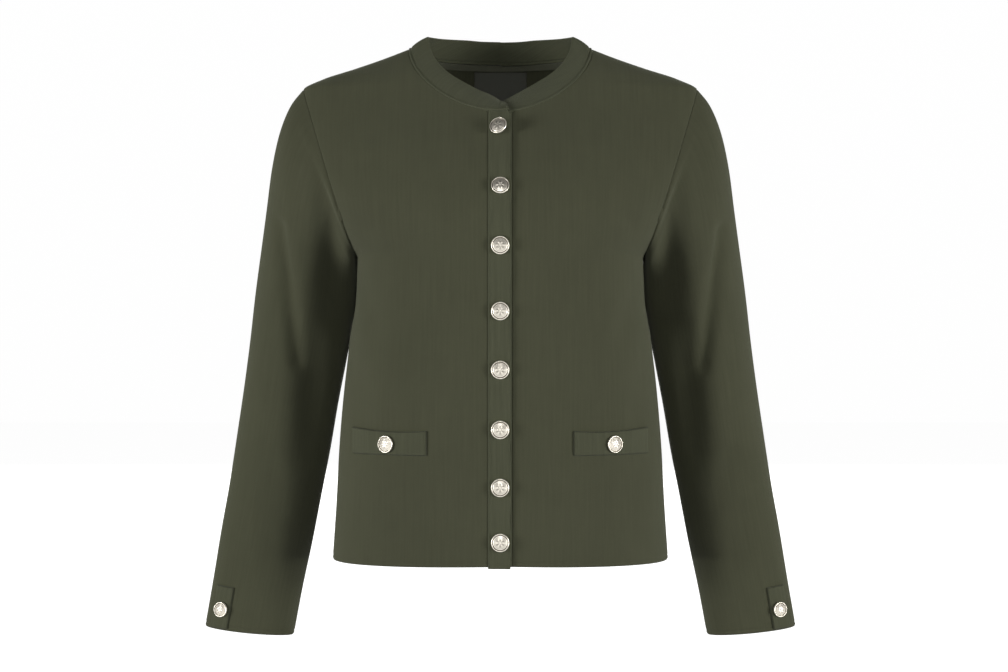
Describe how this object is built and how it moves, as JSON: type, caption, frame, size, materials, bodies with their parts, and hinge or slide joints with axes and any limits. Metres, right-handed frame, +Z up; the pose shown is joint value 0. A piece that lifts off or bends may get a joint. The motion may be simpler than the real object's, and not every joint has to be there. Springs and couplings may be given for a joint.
{
  "type": "cardigan",
  "caption": "Short round-neck knit jacket-cardigan with long sleeves, hip welts, cuff tabs and metal buttons, filled out as worn.",
  "frame": {"origin": "between the two neck points, where the shoulder seams meet the neckband: middle of the garment, at shoulder seam depth", "axes": "+Z up, -Y out of the front, +X to the wearer's left"},
  "size_m": [0.6136, 0.2494, 0.6233],
  "materials": {
    "knit": "fine smooth double knit, matt",
    "band": "fine knit, folded and pressed, matt",
    "tape": "twill tape, matt",
    "label": "woven satin, dull",
    "button_metal": "pale gold plated metal, polished"
  },
  "bodies": {
    "root": {"back": "knit", "front_left": "knit", "front_right": "knit", "sleeve_left": "knit", "sleeve_right": "knit", "placket_under": "band", "placket_top": "band", "neckband": "band", "neck_tape": "tape", "label": "label", "pocket_welt_left": "band", "pocket_welt_right": "band", "cuff_tab_left": "band", "cuff_tab_right": "band", "button_1": "button_metal", "button_2": "button_metal", "button_3": "button_metal", "button_4": "button_metal", "button_5": "button_metal", "button_6": "button_metal", "button_7": "button_metal", "button_8": "button_metal", "pocket_button_left": "button_metal", "pocket_button_right": "button_metal", "cuff_button_left": "button_metal", "cuff_button_right": "button_metal"}
  },
  "joints": []
}
